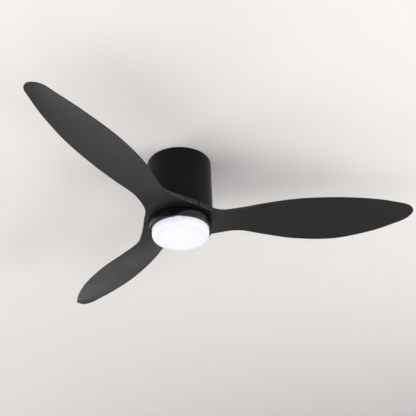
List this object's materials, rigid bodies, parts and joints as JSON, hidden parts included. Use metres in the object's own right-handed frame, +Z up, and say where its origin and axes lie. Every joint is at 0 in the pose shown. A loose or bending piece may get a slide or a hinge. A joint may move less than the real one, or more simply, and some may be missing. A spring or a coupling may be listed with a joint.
{
  "type": "ceiling fan with light",
  "caption": "Flush-mount ceiling fan with moulded blades on an outer-rotor motor, a drum housing and a round light with a twist-off opal diffuser.",
  "frame": {"origin": "on the fan's axis at the ceiling, at the upper mouth of the bracket's cable hole", "axes": "+Z up along the shaft and into the ceiling, +X along the bracket's bar through the two screw slots"},
  "size_m": [1.0962, 1.1275, 0.243],
  "materials": {
    "zinc_sheet": "zinc-plated pressed steel",
    "black_paint": "satin black powder coat",
    "black_screws": "black screws",
    "zinc_screws": "zinc-plated screws and nuts",
    "turned_steel": "turned steel",
    "bearing_steel": "ground bearing steel",
    "bearing_balls": "polished balls",
    "bearing_cage": "pressed brass cage",
    "spring_steel": "blued spring steel",
    "laminated_steel": "stacked laminations",
    "ivory_plastic": "moulded plastic",
    "copper_wire": "enamelled copper windings",
    "magnet": "coated magnets",
    "cast_aluminium": "die-cast aluminium",
    "black_rubber": "rubber damping pads",
    "blade_plastic": "fine-grained matt black moulded blades",
    "pan_gloss": "semi-gloss black light pan",
    "black_plastic": "moulded black plastic",
    "white_board": "white solder mask on aluminium",
    "led_phosphor": "LED phosphor",
    "opal_diffuser": "opal acrylic, lit from inside",
    "green_board": "green circuit board",
    "dark_components": "components",
    "brass_screws": "brass terminal screws",
    "earth_wire": "green and yellow insulation",
    "brown_wire": "brown insulation",
    "red_wire": "red insulation",
    "white_wire": "white insulation"
  },
  "bodies": {
    "root": {"mounting_bracket": "zinc_sheet", "housing_shell": "black_paint", "housing_screws": "black_screws", "hanger_legs": "zinc_sheet", "bracket_screws": "zinc_screws", "plate_screws": "zinc_screws", "motor_plate": "zinc_sheet", "shaft": "turned_steel", "shaft_washer": "zinc_screws", "shaft_nut": "zinc_screws", "bearing_sleeve": "turned_steel", "upper_inner_race": "bearing_steel", "lower_inner_race": "bearing_steel", "circlips": "spring_steel", "stator_core": "laminated_steel", "stator_insulators": "ivory_plastic", "stator_windings": "copper_wire", "light_bracket": "zinc_sheet", "light_nuts": "zinc_screws", "light_pan": "pan_gloss", "pan_screws": "zinc_screws", "led_driver": "black_plastic", "led_board": "white_board", "led_chips": "led_phosphor", "led_screws": "zinc_screws", "controller_case": "black_plastic", "controller_lid": "black_plastic", "controller_board": "green_board", "controller_parts": "dark_components", "controller_screws": "zinc_screws", "terminal_block": "ivory_plastic", "terminal_screws": "brass_screws", "earth_screw": "brass_screws", "earth_lead": "earth_wire", "supply_leads": "brown_wire", "motor_leads": "red_wire", "light_leads": "white_wire"},
    "rotor": {"rotor_magnets": "magnet", "rotor_yoke": "turned_steel", "rotor_cover": "cast_aluminium", "rotor_base": "cast_aluminium", "rotor_screws": "zinc_screws", "blade_pads": "black_rubber", "blade_1": "blade_plastic", "blade_2": "blade_plastic", "blade_3": "blade_plastic", "blade_screws": "zinc_screws", "upper_outer_race": "bearing_steel", "lower_outer_race": "bearing_steel"},
    "upper_ball_set": {"upper_balls": "bearing_balls", "upper_cage": "bearing_cage"},
    "lower_ball_set": {"lower_balls": "bearing_balls", "lower_cage": "bearing_cage"},
    "diffuser": {"diffuser": "opal_diffuser"}
  },
  "joints": [
    {"name": "rotor_spin", "type": "hinge", "parent": "root", "child": "rotor", "pos_m": [0, 0, -0.13], "axis": [0, 0, 1], "continuous": true},
    {"name": "upper_balls_orbit", "type": "hinge", "parent": "root", "child": "upper_ball_set", "pos_m": [0, 0, -0.098], "axis": [0, 0, 1], "continuous": true},
    {"name": "lower_balls_orbit", "type": "hinge", "parent": "root", "child": "lower_ball_set", "pos_m": [0, 0, -0.161], "axis": [0, 0, 1], "continuous": true},
    {"name": "diffuser_twist", "type": "hinge", "parent": "root", "child": "diffuser", "pos_m": [0, 0, -0.215], "axis": [0, 0, 1], "range_deg": [0, 14]}
  ],
  "couplings": [
    {"joint": "upper_balls_orbit", "follows": "rotor_spin", "ratio": 0.6032},
    {"joint": "lower_balls_orbit", "follows": "rotor_spin", "ratio": 0.6032}
  ]
}
